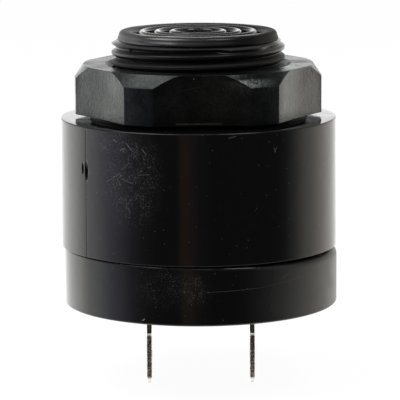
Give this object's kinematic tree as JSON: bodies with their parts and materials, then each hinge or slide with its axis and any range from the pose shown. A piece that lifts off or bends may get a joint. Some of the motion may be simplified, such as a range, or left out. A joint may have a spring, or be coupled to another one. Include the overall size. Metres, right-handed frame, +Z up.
{
  "type": "piezo buzzer",
  "caption": "Round panel-mount piezo alarm: threaded neck with a ribbed sound grille, hex nut and sealing gasket, and a base cap with push-on tabs.",
  "frame": {"origin": "centre of the panel seat, the flat shoulder round the neck, on the neck's axis", "axes": "+Z up the neck towards the grille, so the tabs point to -Z; X runs from the left tab to the right one"},
  "size_m": [0.044, 0.044, 0.0565],
  "materials": {
    "housing_plastic": "smooth moulded black",
    "nut_plastic": "fine satin moulded black",
    "gasket_rubber": "matte black",
    "base_plastic": "smooth moulded black",
    "tab_metal": "dull tin plate over brass",
    "inner_plastic": "plain moulded black",
    "bond_silicone": "soft white sealant",
    "disc_brass": "bright rolled sheet",
    "disc_ceramic": "silvered matte face",
    "board_laminate": "green lacquered laminate",
    "ferrite": "dark sintered grey",
    "copper_wire": "lacquered copper",
    "can_sleeve": "shrunk blue sleeve",
    "capacitor_coat": "dipped orange-brown coat",
    "transistor_case": "moulded black epoxy",
    "diode_body": "moulded black epoxy",
    "resistor_coat": "tan lacquer",
    "red_insulation": "soft red insulation",
    "black_insulation": "soft black insulation",
    "blue_insulation": "soft blue insulation",
    "solder": "bright solder"
  },
  "bodies": {
    "alarm": {"housing": "housing_plastic", "panel_gasket": "gasket_rubber", "base_cap": "base_plastic", "terminal_left": "tab_metal", "terminal_right": "tab_metal", "port_plate": "inner_plastic", "bond_ring": "bond_silicone", "brass_disc": "disc_brass", "ceramic_disc": "disc_ceramic", "circuit_board": "board_laminate", "coil_core": "ferrite", "coil_winding": "copper_wire", "filter_capacitor": "can_sleeve", "disc_capacitor": "capacitor_coat", "transistor": "transistor_case", "diode": "diode_body", "resistor_1": "resistor_coat", "resistor_2": "resistor_coat", "resistor_3": "resistor_coat", "wire_red": "red_insulation", "wire_black": "black_insulation", "wire_blue": "blue_insulation", "solder_joints": "solder"},
    "nut": {"hex_nut": "nut_plastic"}
  },
  "joints": [
    {"name": "nut_travel", "type": "slide", "parent": "alarm", "child": "nut", "axis": [0, 0, 1], "range_m": [0, 0.0145]}
  ]
}
